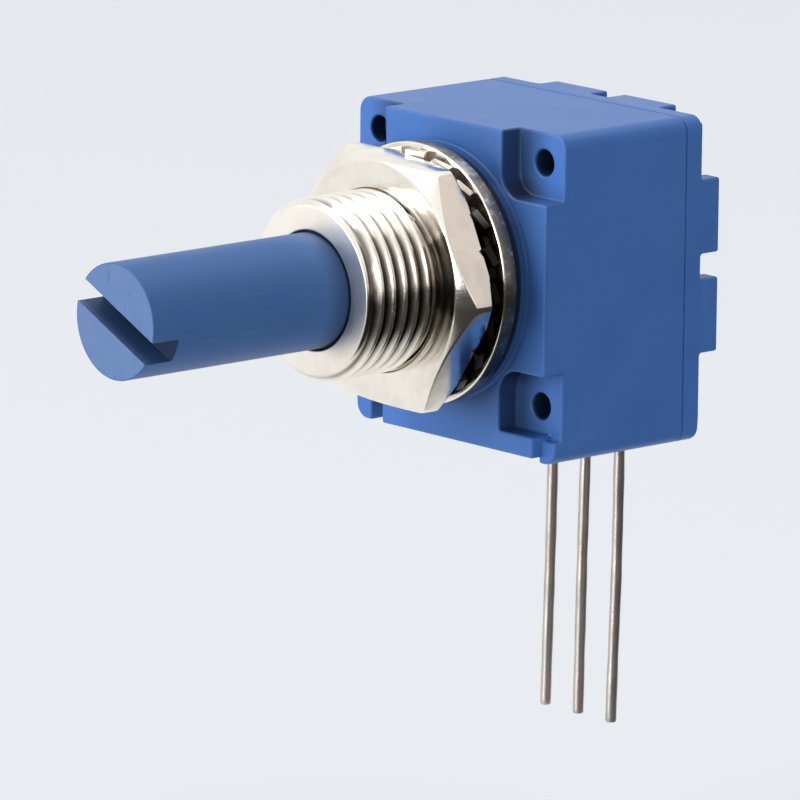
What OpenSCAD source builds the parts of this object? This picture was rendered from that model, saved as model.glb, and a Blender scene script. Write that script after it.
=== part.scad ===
// Square panel potentiometer with a slotted plastic shaft, threaded bushing and three wire leads.
// The shaft axis is Y and the shaft points to -Y. The origin is on that axis, at the front face
// of the bushing flange, which is the face that meets the panel. The leads point to -Z.

/* [Housing] */
// Width of the square housing
body_w = 15.88; // [14:0.01:18]
// Depth of the housing below the shaft axis, down to its underside
body_bottom = 8.85; // [8.6:0.01:10]
// Radius of the housing's long outer corners
corner_r = 0.8; // [0.4:0.05:1.1]
// Length of the housing from its raised front face to the parting line
housing_len = 9.87; // [9.5:0.01:12]
// How far the four corners step back from the raised front face
corner_step = 1.28; // [0.6:0.01:1.6]
// Width of the raised face between the stepped corners
arm_w = 9; // [8.4:0.05:9.6]
// Height of the raised face between the stepped corners
arm_h = 9; // [8.8:0.05:9.6]
// Fillet in the inner corner of each step
step_fillet_r = 1.3; // [0.6:0.05:1.6]
// Thickness of the housing's front wall
front_wall = 2.6; // [2.4:0.05:3.2]
// Distance of each corner hole's axis from the housing's side
hole_inset = 1.59; // [1.5:0.01:1.7]
// Thickness of the housing's wall under the element plate's tail
foot_wall = 0.85; // [0.7:0.05:1]
// Diameter of the corner holes
hole_d = 1.38; // [1:0.01:1.6]
// How far the standoff rails reach below the underside
rail_drop = 0.38; // [0.2:0.01:0.8]
// Width of each standoff rail
rail_w = 1.19; // [0.9:0.01:1.4]
// Width of the groove beside each rail
groove_w = 0.9; // [0.5:0.01:1.1]
// Depth of the groove beside each rail, up from the underside
groove_h = 0.85; // [0.4:0.01:1]
// How far the right rail's toe stands in front of the stepped corner
toe_len = 0.48; // [0.2:0.01:0.8]
// Height of the lip that closes the lower right recess
lip_h = 1.1; // [0.9:0.05:1.2]
// Distance from the lip's end to the housing's right side
lip_gap = 0.84; // [0.6:0.02:1.1]

/* [Bushing, nut and washer] */
// Outer diameter of the bushing thread
thread_d = 9.525; // [9.3:0.005:9.6]
// Step in radius from the thread's crest to its pitch line, where the nut and the washer sit
seat_step = 0.2575; // [0.24:0.0005:0.27]
// Length of the bushing in front of the panel face
bushing_len = 7.2; // [6:0.05:10]
// Length of the bevel at the front of the thread
lead_in = 0.44; // [0.2:0.01:0.6]
// Diameter of the bushing flange
flange_d = 13.72; // [13.3:0.01:14.2]
// Thickness of the bushing flange
flange_t = 0.85; // [0.6:0.01:1.2]
// Diameter of the round plastic plinth behind the flange
plinth_d = 13.3; // [12.8:0.05:13.6]
// Height of the plinth
plinth_h = 0.95; // [0.4:0.01:1.4]
// Diameter of the bushing's tail inside the housing
tail_d = 9.2; // [8.8:0.05:9.6]
// Diameter of the anchor ring moulded into the housing
anchor_d = 10.8; // [10.2:0.05:11.4]
// Thickness of the anchor ring
anchor_t = 0.9; // [0.6:0.05:1]
// Distance across the anchor ring's two flats
anchor_flats = 9.9; // [9.7:0.05:10.1]
// Diameter of the countersink at the mouth of the bore
mouth_d = 7; // [6.6:0.05:7.4]
// Size of the nut across its flats
nut_af = 12.7; // [12:0.05:13]
// Thickness of the nut
nut_t = 2; // [1.6:0.05:2.6]
// Angle of the nut's first corner from +X
nut_turn = -4; // [-30:1:30]
// Diameter of the flat left on the nut's front by its bevel
nut_face_d = 12.4; // [11.8:0.05:12.6]
// Radial play between the nut and the thread
nut_play = 0.04; // [0.02:0.01:0.06]
// Gap between the flange and the nut, filled by the lock washer
washer_stack = 0.84; // [0.7:0.01:1]
// Thickness of the lock washer's sheet
washer_t = 0.44; // [0.35:0.01:0.5]
// Outer diameter of the lock washer over its teeth
washer_d = 13.2; // [12.8:0.05:13.4]
// Number of teeth on the lock washer
tooth_count = 21; // [16:1:24]
// Width of one lock washer tooth
tooth_w = 1.08; // [0.9:0.02:1.1]
// Length of one lock washer tooth
tooth_len = 0.95; // [0.8:0.05:1.1]
// Twist of each lock washer tooth
tooth_twist = 22; // [14:1:22]

/* [Shaft and rotor] */
// Diameter of the shaft
shaft_d = 6; // [5.5:0.01:6.1]
// Length of the shaft in front of the panel face
shaft_len = 20.2; // [15:0.1:30]
// Width of the screwdriver slot
slot_w = 1.3; // [0.8:0.05:1.6]
// Depth of the screwdriver slot
slot_depth = 1.7; // [1:0.05:2.4]
// Angle of the slot at rest, from +X
slot_turn = -25.5; // [-90:0.5:90]
// Step in radius from the shaft down to its journal in the bushing
journal_step = 0.2; // [0.16:0.01:0.25]
// Radial running clearance of the journal in the bushing
bore_play = 0.05; // [0.02:0.01:0.09]
// Diameter of the shaft's keyed stretch that carries the rotor
key_d = 4.6; // [4.2:0.05:5]
// Distance across the two flats of the keyed stretch
key_flats = 3.6; // [3:0.05:3.9]
// Diameter of the pilot pin at the shaft's rear end
pilot_d = 1.8; // [1.4:0.05:2.2]
// Width of the shaft's groove for the sealing ring
seal_groove_w = 1.2; // [1:0.05:1.4]
// Diameter at the bottom of the shaft's sealing groove
seal_groove_d = 4.4; // [4.2:0.05:4.6]
// Radial gap between the rotor disc and the cavity
rotor_gap = 0.7; // [0.5:0.05:0.8]
// Thickness of the rotor disc
rotor_t = 1.7; // [1.4:0.05:1.8]
// Length of the rotor's hub behind its disc
hub_len = 0.3; // [0.2:0.05:0.4]
// Diameter of the rotor's hub
hub_d = 6.4; // [5.8:0.1:6.5]
// Full turning range of the shaft
travel = 300; // [260:1:310]

/* [Resistance element] */
// Thickness of the housing's wall beside the element plate
plate_wall = 0.99; // [0.9:0.01:1.1]
// Distance of the element plate's printed face in front of the parting line
plate_inset = 2.17; // [2.1:0.01:2.3]
// Thickness of the element plate
plate_t = 0.9; // [0.6:0.05:1]
// Width of the plate's tail that carries the leads
tail_w = 8.4; // [7.6:0.1:9]
// Distance of the resistance track's middle from the rotor's edge
track_inset = 1.2; // [1:0.05:1.4]
// Width of the resistance track
track_w = 1; // [0.6:0.05:1.2]
// Middle radius of the collector ring
collector_r = 2.3; // [2.2:0.05:2.5]
// Width of the collector ring
collector_w = 1; // [0.6:0.05:1.1]
// Thickness of the printed layers
film_t = 0.08; // [0.05:0.01:0.12]

/* [Leads] */
// Spacing of the leads
lead_pitch = 2.54; // [2.4:0.01:2.6]
// Diameter of a lead
lead_d = 0.6; // [0.5:0.01:0.7]
// Length of a lead below the housing
lead_len = 16.3; // [10:0.1:20]
// Lean of each lead towards the front
lead_lean = 1.2; // [0:0.1:3]
// Distance of the leads behind the parting line
lead_setback = 0.63; // [0.5:0.01:0.8]
// Inner height at which the leads enter the element plate, below the shaft axis
lead_entry = 6.7; // [6.5:0.05:6.9]
// Radius of the bend in each lead
lead_bend_r = 0.7; // [0.5:0.05:0.9]

/* [Rear cover] */
// Thickness of the cover's rim behind the parting line
rim_t = 1.13; // [1:0.01:1.6]
// Thickness of the cover's side walls and tabs
cover_wall = 1.1; // [0.9:0.05:1.3]
// Height of the coupling tabs behind the rim
tab_h = 1.25; // [0.8:0.01:1.6]
// Width of one coupling tab
tab_w = 3.95; // [3.4:0.05:4.1]
// Gap between the two tabs on each side
tab_gap = 1.3; // [0.8:0.05:1.8]
// Height of the raised back plate behind the rim
back_h = 0.7; // [0.5:0.05:0.9]
// Thickness of the back plate
back_t = 0.65; // [0.5:0.05:0.9]

/* [Hidden] */
$fn = 96;

// Far beyond the part, for cuts that run right through it
reach = 40;
// Overrun of a cut past the face it opens
over = 0.5;

// Housing outline and holes
body_top = body_w / 2;
hole_pitch = body_w - 2 * hole_inset;

// Stations along Y, from the front to the rear
boss_y = flange_t + plinth_h;
step_y = boss_y + corner_step;
wall_y = boss_y + front_wall;
parting_y = boss_y + housing_len;
rim_y = parting_y + rim_t;
tab_y = rim_y + tab_h;
back_y = rim_y + back_h;

// Barrel under the nut and the washer, and the shaft's journal
seat_len = washer_stack + nut_t + 0.1;
pitch_d = thread_d - 2 * seat_step;
journal_d = shaft_d - 2 * journal_step;
journal_y = -bushing_len - 0.15;

// Shaft, clip and rotor stack behind the front wall
axial_play = 0.03;
thrust_t = 0.3;
clip_t = 0.5;
clip_y = wall_y + axial_play + thrust_t + axial_play;
clip_groove_play = 0.02;
clip_groove_d = 4.7;
clip_d = 8.2;
clip_mouth = 3.6;
clip_band = (clip_d - clip_groove_d) / 2 - clip_groove_play;
clip_hole_d = 0.4 * clip_band;
clip_hole_r = clip_d / 2 - clip_band / 2;
clip_hole_angle = 21;
thrust_d = tail_d - 0.6;
shoulder_y = clip_y + clip_t + 0.75;
rotor_y = shoulder_y;
rotor_back_y = rotor_y + rotor_t;
hub_y = rotor_back_y + hub_len;
key_play = 0.02;

// Cavity, element plate and printed layers
plate_d = body_w - 2 * plate_wall;
cavity_d = plate_d - 0.5;
rotor_d = cavity_d - 2 * rotor_gap;
track_r = rotor_d / 2 - track_inset;
pocket_play = 0.1;
plate_y = parting_y - plate_inset;
plate_back_y = plate_y + plate_t;
film_y = plate_y - film_t;
tail_bottom = body_bottom - foot_wall;
pilot_play = 0.07;
pilot_y = plate_back_y - 0.1;
track_half_turn = 155;
stop_half_turn = 16;
stop_play = 1;
lug_half_turn = 180 - travel / 2 - stop_half_turn - stop_play;
stop_front_gap = 0.15;
lug_front_gap = 0.35;
stop_r0 = max(clip_d, thrust_d) / 2 + 0.3;
lug_r0 = stop_r0 + 0.1;
lead_y = parting_y + lead_setback;
lead_xs = [-lead_pitch, 0, lead_pitch];
lead_hole_play = 0.08;
solder_h = 0.22;
solder_r = 0.68;
lead_stub = 0.3;
pad_w = 1.8;
strip_w = 1;
pad_rim = 0.5;
terminal_room = 0.6;
terminal_half = lead_pitch + pad_w / 2 + pocket_play;

// Cover details
spigot_d = plate_d;
spigot_t = 0.8;
cover_cavity_d = spigot_d - 2 * spigot_t;
back_arm = tab_gap + 2 * tab_w;

// Wiper spring
spring_t = 0.12;
spring_inner_d = hub_d + 0.4;
spring_outer_d = rotor_d - 0.2;
spring_open_half_turn = 60;
finger_w = 0.24;
finger_gap = 0.09;
track_finger_run = 2.4;
collector_finger_run = 3.4;
finger_count = 3;
contact_gap = 0.03;
contact_r = 0.16;

// Sealing ring
seal_y = 1.6;
seal_bore_gap = 0.02;

// Extrudes an outline drawn in X and Z from y0 back to y1.
module slab(y0, y1) {
    translate([0, y1, 0]) rotate([90, 0, 0]) linear_extrude(height = y1 - y0) children();
}

// Turns a profile of [radius, y] points about the shaft axis.
module turned(profile) {
    rotate([90, 0, 0]) rotate_extrude() polygon([for (p = profile) [p[0], -p[1]]]);
}

// A straight rod along Y at (x, z).
module rod(d, y0, y1, x = 0, z = 0) {
    translate([x, y1, z]) rotate([90, 0, 0]) cylinder(d = d, h = y1 - y0);
}

// Rectangle with round corners, from two corners and a radius.
module rounded_box(x0, z0, x1, z1, r) {
    translate([x0 + r, z0]) square([x1 - x0 - 2 * r, z1 - z0]);
    translate([x0, z0 + r]) square([x1 - x0, z1 - z0 - 2 * r]);
    for (x = [x0 + r, x1 - r]) for (z = [z0 + r, z1 - r]) translate([x, z]) circle(r = r);
}

// Rectangle from two corners.
module box2d(x0, z0, x1, z1) {
    translate([x0, z0]) square([x1 - x0, z1 - z0]);
}

// Wedge of the plane around the middle angle, wide enough to cut any ring here.
module wedge(middle, half) {
    steps = max(2, ceil(half / 30));
    polygon(concat([[0, 0]],
        [for (i = [-steps : steps]) reach * [cos(middle + half * i / steps), sin(middle + half * i / steps)]]));
}

// Ring between two radii, kept only inside a wedge.
module ring_sector(r0, r1, middle, half) {
    intersection() {
        difference() {
            circle(r = r1);
            circle(r = r0);
        }
        wedge(middle, half);
    }
}

// Outline of the housing, with its standoff rails and the grooves beside them.
module body_outline() {
    half = body_w / 2;
    difference() {
        rounded_box(-half, -body_bottom - rail_drop, half, body_top, corner_r);
        box2d(-half + rail_w, -reach, half - rail_w, -body_bottom);
        for (s = [-1, 1]) translate([s * (half - rail_w - groove_w / 2), 0])
            box2d(-groove_w / 2, -body_bottom - rail_drop - over, groove_w / 2, -body_bottom + groove_h);
    }
}

// Plus-shaped outline of the raised front face, with filleted inner corners, and the lip
// that closes the lower right recess.
module boss_outline() {
    intersection() {
        body_outline();
        union() {
            box2d(-arm_w / 2, -reach, arm_w / 2, reach);
            box2d(-reach, -arm_h / 2, reach, arm_h / 2);
            for (sx = [0, 1]) for (sz = [0, 1]) mirror([sx, 0]) mirror([0, sz])
                translate([arm_w / 2, arm_h / 2]) difference() {
                    translate([-over, -over]) square(step_fillet_r + over);
                    translate([step_fillet_r, step_fillet_r]) circle(r = step_fillet_r);
                }
        }
    }
    box2d(arm_w / 2 - over, -body_bottom, body_w / 2 - lip_gap, -body_bottom + lip_h);
}

// The four corner holes, from y0 to y1.
module corner_holes(y0, y1) {
    for (sx = [-1, 1]) for (sz = [-1, 1]) rod(hole_d, y0, y1, sx * hole_pitch / 2, sz * hole_pitch / 2);
}

// Outline of the element plate, larger by the play where it forms the pocket.
module plate_outline(play = 0) {
    circle(d = plate_d + 2 * play);
    box2d(-tail_w / 2 - play, -tail_bottom - play, tail_w / 2 + play, 0);
}

// The bushing's anchor ring, with its two flats.
module bushing_anchor() {
    y0 = (boss_y + wall_y - anchor_t) / 2;
    slab(y0, y0 + anchor_t) intersection() {
        circle(d = anchor_d);
        box2d(-anchor_flats / 2, -reach, anchor_flats / 2, reach);
    }
}

module front_housing() color("royalblue") {
    difference() {
        union() {
            slab(step_y, parting_y) body_outline();
            slab(boss_y, step_y) boss_outline();
            rod(plinth_d, flange_t, boss_y + over);
            slab(step_y - toe_len, step_y + over) intersection() {
                body_outline();
                box2d(body_w / 2 - rail_w, -reach, body_w / 2, -body_bottom + groove_h);
            }
        }
        rod(tail_d, flange_t - over, wall_y + over);
        bushing_anchor();
        rod(cavity_d, wall_y, parting_y + over);
        slab(plate_y, parting_y + over) plate_outline(pocket_play);
        slab(plate_y - terminal_room, plate_y + over)
            box2d(-terminal_half, -lead_entry - solder_r - pocket_play, terminal_half, 0);
        corner_holes(boss_y - over, parting_y + over);
    }
    slab(wall_y, rotor_y - stop_front_gap)
        ring_sector(stop_r0, cavity_d / 2 + pocket_play, -90, stop_half_turn);
}

// Outlines of the eight coupling tabs, two in the middle of each side.
module tab_outlines() {
    half = body_w / 2;
    for (s = [-1, 1]) translate([s * (tab_gap + tab_w) / 2, 0]) {
        box2d(-tab_w / 2, body_top - cover_wall, tab_w / 2, body_top);
        box2d(-tab_w / 2, -body_bottom, tab_w / 2, -body_bottom + cover_wall);
    }
    for (s = [-1, 1]) translate([0, s * (tab_gap + tab_w) / 2]) {
        box2d(-half, -tab_w / 2, -half + cover_wall, tab_w / 2);
        box2d(half - cover_wall, -tab_w / 2, half, tab_w / 2);
    }
}

module rear_cover() color("royalblue") {
    half = body_w / 2;
    difference() {
        union() {
            slab(parting_y, rim_y) body_outline();
            slab(rim_y, back_y) {
                box2d(-back_arm / 2, -body_bottom + cover_wall, back_arm / 2, body_top - cover_wall);
                box2d(-half + cover_wall, -back_arm / 2, half - cover_wall, back_arm / 2);
                tab_outlines();
            }
            slab(back_y, tab_y) tab_outlines();
            rod(spigot_d, plate_back_y, parting_y + over);
        }
        rod(cover_cavity_d, plate_back_y - over, back_y - back_t);
        slab(plate_back_y - over, back_y - back_t)
            box2d(-tail_w / 2, -tail_bottom, tail_w / 2, 0);
        corner_holes(parting_y - over, tab_y + over);
        for (x = lead_xs) translate([x, lead_y, -body_bottom - over])
            cylinder(d = lead_d + 2 * lead_hole_play, h = body_bottom - tail_bottom + 2 * over);
    }
}

module bushing() color("gainsboro") {
    bore_r = journal_d / 2 + bore_play;
    mouth_depth = mouth_d / 2 - bore_r;
    turned([
        [bore_r, -bushing_len + mouth_depth],
        [mouth_d / 2, -bushing_len],
        [thread_d / 2 - lead_in, -bushing_len],
        [thread_d / 2, -bushing_len + lead_in],
        [thread_d / 2, -seat_len],
        [pitch_d / 2, -seat_len],
        [pitch_d / 2, 0],
        [flange_d / 2 - 0.1, 0],
        [flange_d / 2, 0.1],
        [flange_d / 2, flange_t - 0.1],
        [flange_d / 2 - 0.1, flange_t],
        [tail_d / 2, flange_t],
        [tail_d / 2, wall_y],
        [bore_r, wall_y]
    ]);
    difference() {
        bushing_anchor();
        rod(tail_d - 0.4, 0, wall_y);
    }
}

module lock_washer() color("silver") {
    root_r = washer_d / 2 - tooth_len;
    middle_y = -washer_stack / 2;
    slab(middle_y - washer_t / 2, middle_y + washer_t / 2) difference() {
        circle(r = root_r);
        circle(r = thread_d / 2 + 2 * nut_play);
    }
    for (i = [0 : tooth_count - 1]) rotate([0, 360 * i / tooth_count, 0]) translate([0, middle_y, 0])
        intersection() {
            rotate([tooth_twist, 0, 0])
                translate([root_r - 0.3, -washer_t / 2, -tooth_w / 2])
                cube([washer_d / 2 - root_r + 0.3, washer_t, tooth_w]);
            translate([0, -washer_stack / 2, -tooth_w])
                cube([washer_d / 2, washer_stack, 2 * tooth_w]);
        }
}

module panel_nut() color("gainsboro") {
    y0 = -washer_stack - nut_t;
    y1 = -washer_stack;
    corner_rad = nut_af / sqrt(3);
    bore_r = pitch_d / 2 + nut_play;
    bevel = (corner_rad - nut_face_d / 2) * tan(30);
    rear_bevel = 0.6 * bevel;
    mouth = 0.25;
    intersection() {
        rotate([0, -nut_turn, 0]) translate([0, y1, 0]) rotate([90, 0, 0])
            cylinder(r = corner_rad, h = nut_t, $fn = 6);
        turned([
            [bore_r, y0 + mouth],
            [bore_r + mouth, y0],
            [nut_face_d / 2, y0],
            [corner_rad, y0 + bevel],
            [corner_rad, y1 - rear_bevel],
            [corner_rad - rear_bevel / tan(30), y1],
            [bore_r + mouth, y1],
            [bore_r, y1 - mouth]
        ]);
    }
}

module element_plate() color("antiquewhite") {
    difference() {
        slab(plate_y, plate_back_y) plate_outline();
        rod(pilot_d + 2 * pilot_play, plate_y - over, plate_back_y + over);
        for (x = lead_xs)
            rod(lead_d + 2 * lead_hole_play, plate_y - over, plate_back_y + over, x, -lead_entry);
    }
}

// Outline of the horseshoe-shaped resistance track.
module track_outline() {
    ring_sector(track_r - track_w / 2, track_r + track_w / 2, 90, track_half_turn);
}

// Round openings in the printed layers, one for each lead.
module lead_openings() {
    for (x = lead_xs) translate([x, -lead_entry]) circle(d = lead_d + 2 * lead_hole_play);
}

module resistance_track() color("dimgray") {
    slab(film_y, plate_y) track_outline();
}

module collector_track() color("silver") {
    slab(film_y, plate_y) difference() {
        union() {
            circle(r = collector_r + collector_w / 2);
            box2d(-strip_w / 2, -lead_entry - pad_rim, strip_w / 2, 0);
        }
        circle(r = collector_r - collector_w / 2);
        lead_openings();
    }
}

// One end pad, on the side given by the sign.
module end_pad(side) {
    x0 = side * lead_pitch - pad_w / 2;
    slab(film_y, plate_y) difference() {
        box2d(x0, -lead_entry - pad_rim, x0 + pad_w, -track_r * cos(180 - track_half_turn) + track_w / 4);
        track_outline();
        circle(r = track_r - track_w / 2);
        lead_openings();
    }
}

module end_pad_ccw() color("silver") end_pad(-1);

module end_pad_cw() color("silver") end_pad(1);

// One wire lead: a stub through the element plate, a bend, then the long leaning leg.
module lead(x) {
    leg = lead_len + body_bottom - lead_entry - lead_bend_r;
    translate([x, lead_y - lead_bend_r, -lead_entry]) {
        rotate([90, 0, 0]) cylinder(d = lead_d, h = lead_y - lead_bend_r - film_y + lead_stub);
        translate([0, 0, -lead_bend_r]) {
            rotate([90, 0, 90]) rotate([0, 0, -lead_lean]) rotate_extrude(angle = 90 + lead_lean)
                translate([lead_bend_r, 0]) circle(d = lead_d);
            rotate([-lead_lean, 0, 0]) translate([0, lead_bend_r, -leg]) cylinder(d = lead_d, h = leg);
        }
    }
}

module lead_ccw() color("lightgray") lead(-lead_pitch);

module lead_wiper() color("lightgray") lead(0);

module lead_cw() color("lightgray") lead(lead_pitch);

module solder_joints() color("silver") {
    for (x = lead_xs) translate([x, film_y, -lead_entry]) rotate([90, 0, 0]) difference() {
        cylinder(r1 = min(solder_r, strip_w / 2 + 0.15), r2 = lead_d / 2 + 0.08, h = solder_h);
        translate([0, 0, -over]) cylinder(d = lead_d, h = solder_h + 2 * over);
    }
}

// Keyed cross-section of the shaft where the rotor sits.
module key_outline(play = 0) {
    intersection() {
        circle(d = key_d + 2 * play);
        box2d(-key_flats / 2 - play, -reach, key_flats / 2 + play, reach);
    }
}

module shaft() color("royalblue") {
    edge = 0.15;
    difference() {
        union() {
            turned([
                [0, -shaft_len],
                [shaft_d / 2 - edge, -shaft_len],
                [shaft_d / 2, -shaft_len + edge],
                [shaft_d / 2, journal_y],
                [journal_d / 2, journal_y],
                [journal_d / 2, seal_y],
                [seal_groove_d / 2, seal_y],
                [seal_groove_d / 2, seal_y + seal_groove_w],
                [journal_d / 2, seal_y + seal_groove_w],
                [journal_d / 2, clip_y - clip_groove_play],
                [clip_groove_d / 2, clip_y - clip_groove_play],
                [clip_groove_d / 2, clip_y + clip_t + clip_groove_play],
                [journal_d / 2, clip_y + clip_t + clip_groove_play],
                [journal_d / 2, shoulder_y],
                [0, shoulder_y]
            ]);
            slab(shoulder_y - over, hub_y) key_outline();
            rod(pilot_d, hub_y - over, pilot_y);
        }
        rotate([0, -slot_turn, 0]) translate([-reach / 2, -shaft_len - over, -slot_w / 2])
            cube([reach, slot_depth + over, slot_w]);
    }
}

module sealing_ring() color("black") {
    bore_r = journal_d / 2 + bore_play;
    wire_r = (bore_r - seal_bore_gap - seal_groove_d / 2 - seal_bore_gap) / 2;
    translate([0, seal_y + seal_groove_w / 2, 0]) rotate([90, 0, 0]) rotate_extrude()
        translate([seal_groove_d / 2 + seal_bore_gap + wire_r, 0]) circle(r = wire_r);
}

module thrust_washer() color("ivory") {
    slab(wall_y + axial_play, wall_y + axial_play + thrust_t) difference() {
        circle(d = thrust_d);
        circle(d = journal_d + 2 * bore_play);
    }
}

module retaining_clip() color("dimgray") {
    slab(clip_y, clip_y + clip_t) difference() {
        circle(d = clip_d);
        circle(d = clip_groove_d + 2 * clip_groove_play);
        box2d(-clip_mouth / 2, 0, clip_mouth / 2, reach);
        for (a = [-clip_hole_angle, 180 + clip_hole_angle])
            translate(clip_hole_r * [cos(a), sin(a)]) circle(d = clip_hole_d);
    }
}

module rotor() color("dimgray") {
    difference() {
        union() {
            rod(rotor_d, rotor_y, rotor_back_y);
            rod(hub_d, rotor_back_y - over, hub_y);
            slab(wall_y + lug_front_gap, rotor_y + over)
                ring_sector(lug_r0, rotor_d / 2, 90, lug_half_turn);
        }
        slab(rotor_y - over, hub_y + over) key_outline(key_play);
    }
}

// A group of sloping spring fingers that ends at x = 0, at the given radius, with round contact tips.
module finger_group(radius, finger_run, side) {
    y0 = rotor_back_y + spring_t / 2;
    y1 = film_y - contact_gap - contact_r;
    rise = atan2(y1 - y0, finger_run);
    pitch = finger_w + finger_gap;
    for (i = [0 : finger_count - 1]) translate([0, 0, radius + (i - (finger_count - 1) / 2) * pitch]) {
        translate([0, y1, 0]) rotate([0, 0, side * rise]) translate([side > 0 ? -finger_run / cos(rise) : 0, 0, 0])
            translate([0, -spring_t / 2, -finger_w / 2])
            cube([finger_run / cos(rise), spring_t, finger_w]);
        translate([0, y1, -finger_w / 2]) cylinder(r = contact_r, h = finger_w);
    }
}

module wiper_contact() color("gold") {
    slab(rotor_back_y, rotor_back_y + spring_t) difference() {
        circle(d = spring_outer_d);
        circle(d = spring_inner_d);
        wedge(-90, spring_open_half_turn);
    }
    finger_group(track_r, track_finger_run, 1);
    finger_group(collector_r, collector_finger_run, -1);
}

front_housing();
rear_cover();
bushing();
lock_washer();
panel_nut();
element_plate();
resistance_track();
collector_track();
end_pad_ccw();
end_pad_cw();
lead_ccw();
lead_wiper();
lead_cw();
solder_joints();
shaft();
sealing_ring();
thrust_washer();
retaining_clip();
rotor();
wiper_contact();
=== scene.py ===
"""Looks of a square panel potentiometer with a slotted shaft, threaded bushing and wire leads.

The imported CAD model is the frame. Lengths in this file are millimetres until a mesh is written,
and positions are in the frame's axes: the shaft points to -Y, the leads to -Z, and the origin is
on the shaft axis at the front face of the bushing flange.
"""

from __future__ import annotations

import logging
import math
from contextlib import contextmanager
from dataclasses import dataclass
from enum import Enum
from typing import Callable, Iterator, Sequence, Union

import bmesh
import bpy
import numpy as np
from mathutils import Matrix, Vector

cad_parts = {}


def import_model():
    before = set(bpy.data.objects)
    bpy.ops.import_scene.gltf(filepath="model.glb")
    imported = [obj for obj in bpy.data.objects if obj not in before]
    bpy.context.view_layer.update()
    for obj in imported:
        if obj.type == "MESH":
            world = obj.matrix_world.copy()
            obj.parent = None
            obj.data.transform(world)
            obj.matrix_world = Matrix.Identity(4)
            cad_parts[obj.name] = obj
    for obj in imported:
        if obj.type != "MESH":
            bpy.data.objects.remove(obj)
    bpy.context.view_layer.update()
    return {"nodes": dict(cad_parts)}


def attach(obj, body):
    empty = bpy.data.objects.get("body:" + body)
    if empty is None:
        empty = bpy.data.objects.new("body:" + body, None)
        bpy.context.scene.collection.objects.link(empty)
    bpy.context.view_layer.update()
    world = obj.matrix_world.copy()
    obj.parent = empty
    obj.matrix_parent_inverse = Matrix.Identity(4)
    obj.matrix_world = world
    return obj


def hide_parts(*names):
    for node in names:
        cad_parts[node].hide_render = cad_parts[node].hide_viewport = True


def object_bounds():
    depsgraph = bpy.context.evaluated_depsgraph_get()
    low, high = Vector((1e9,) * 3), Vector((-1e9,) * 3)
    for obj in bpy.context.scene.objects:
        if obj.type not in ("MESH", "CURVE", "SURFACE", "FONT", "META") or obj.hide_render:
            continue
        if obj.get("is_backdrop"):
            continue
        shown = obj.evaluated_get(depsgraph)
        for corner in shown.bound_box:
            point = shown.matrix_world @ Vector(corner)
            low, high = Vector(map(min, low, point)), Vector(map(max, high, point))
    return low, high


LOG = logging.getLogger("potentiometer")
MM = 0.001
TAU = 2 * math.pi
MERGE_MM = 1e-4  # points nearer than this become one
SHARP_DEG = 32.0  # edges that turn by more stay sharp
HOLE_AXIS_MM = 6.35  # from the shaft axis to each corner hole's, along X and Z
Colour = tuple[float, float, float]
Station = tuple[Union[float, np.ndarray], Union[float, np.ndarray]]


class Body(Enum):
    """The two bodies that pieces ride on."""

    HOUSING = "housing"
    SPINDLE = "spindle"


class Slot(Enum):
    """The record's material slots."""

    HOUSING_PLASTIC = "housing_plastic"
    SHAFT_PLASTIC = "shaft_plastic"
    NICKEL = "nickel_plate"
    SPRING_STEEL = "spring_steel"
    CERAMIC = "ceramic"
    RESISTOR_FILM = "resistor_film"
    CONDUCTOR_FILM = "conductor_film"
    TINNED_WIRE = "tinned_wire"
    SOLDER = "solder"
    SEAL_RUBBER = "seal_rubber"
    WASHER_PLASTIC = "washer_plastic"
    ROTOR_PLASTIC = "rotor_plastic"
    CONTACT_METAL = "contact_metal"


class Term:
    """A value in a shader: a node's output, with the operators that add Math nodes."""

    def __init__(self, shader: Shader, socket: bpy.types.NodeSocket) -> None:
        """Wraps one output socket of the shader's tree."""
        self.shader = shader
        self.socket = socket

    def _maths(self, operation: str, *values: Operand) -> Term:
        """Adds one Math node.

        Args:
            operation: the Math node's operation.
            values: its inputs in order, numbers or terms.

        Returns:
            The node's output.
        """
        return self.shader.node("ShaderNodeMath", dict(enumerate(values)), operation=operation)

    def __add__(self, other: Operand) -> Term:
        """self + other."""
        return self._maths("ADD", self, other)

    def __sub__(self, other: Operand) -> Term:
        """self - other."""
        return self._maths("SUBTRACT", self, other)

    def __rsub__(self, other: Operand) -> Term:
        """other - self."""
        return self._maths("SUBTRACT", other, self)

    def __mul__(self, other: Operand) -> Term:
        """self times other."""
        return self._maths("MULTIPLY", self, other)

    def __truediv__(self, other: Operand) -> Term:
        """self divided by other."""
        return self._maths("DIVIDE", self, other)

    def __pow__(self, other: Operand) -> Term:
        """self to the power of other."""
        return self._maths("POWER", self, other)

    def clipped(self) -> Term:
        """self, kept from 0 to 1."""
        return self._maths("MINIMUM", self._maths("MAXIMUM", self, 0.0), 1.0)

    def ramp(self, low: float, high: float) -> Term:
        """0 below low, 1 above high, and a straight line between."""
        return ((self - low) / (high - low)).clipped()

    def size(self) -> Term:
        """self without its sign."""
        return self._maths("ABSOLUTE", self)


Operand = Union[float, Term]


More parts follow.
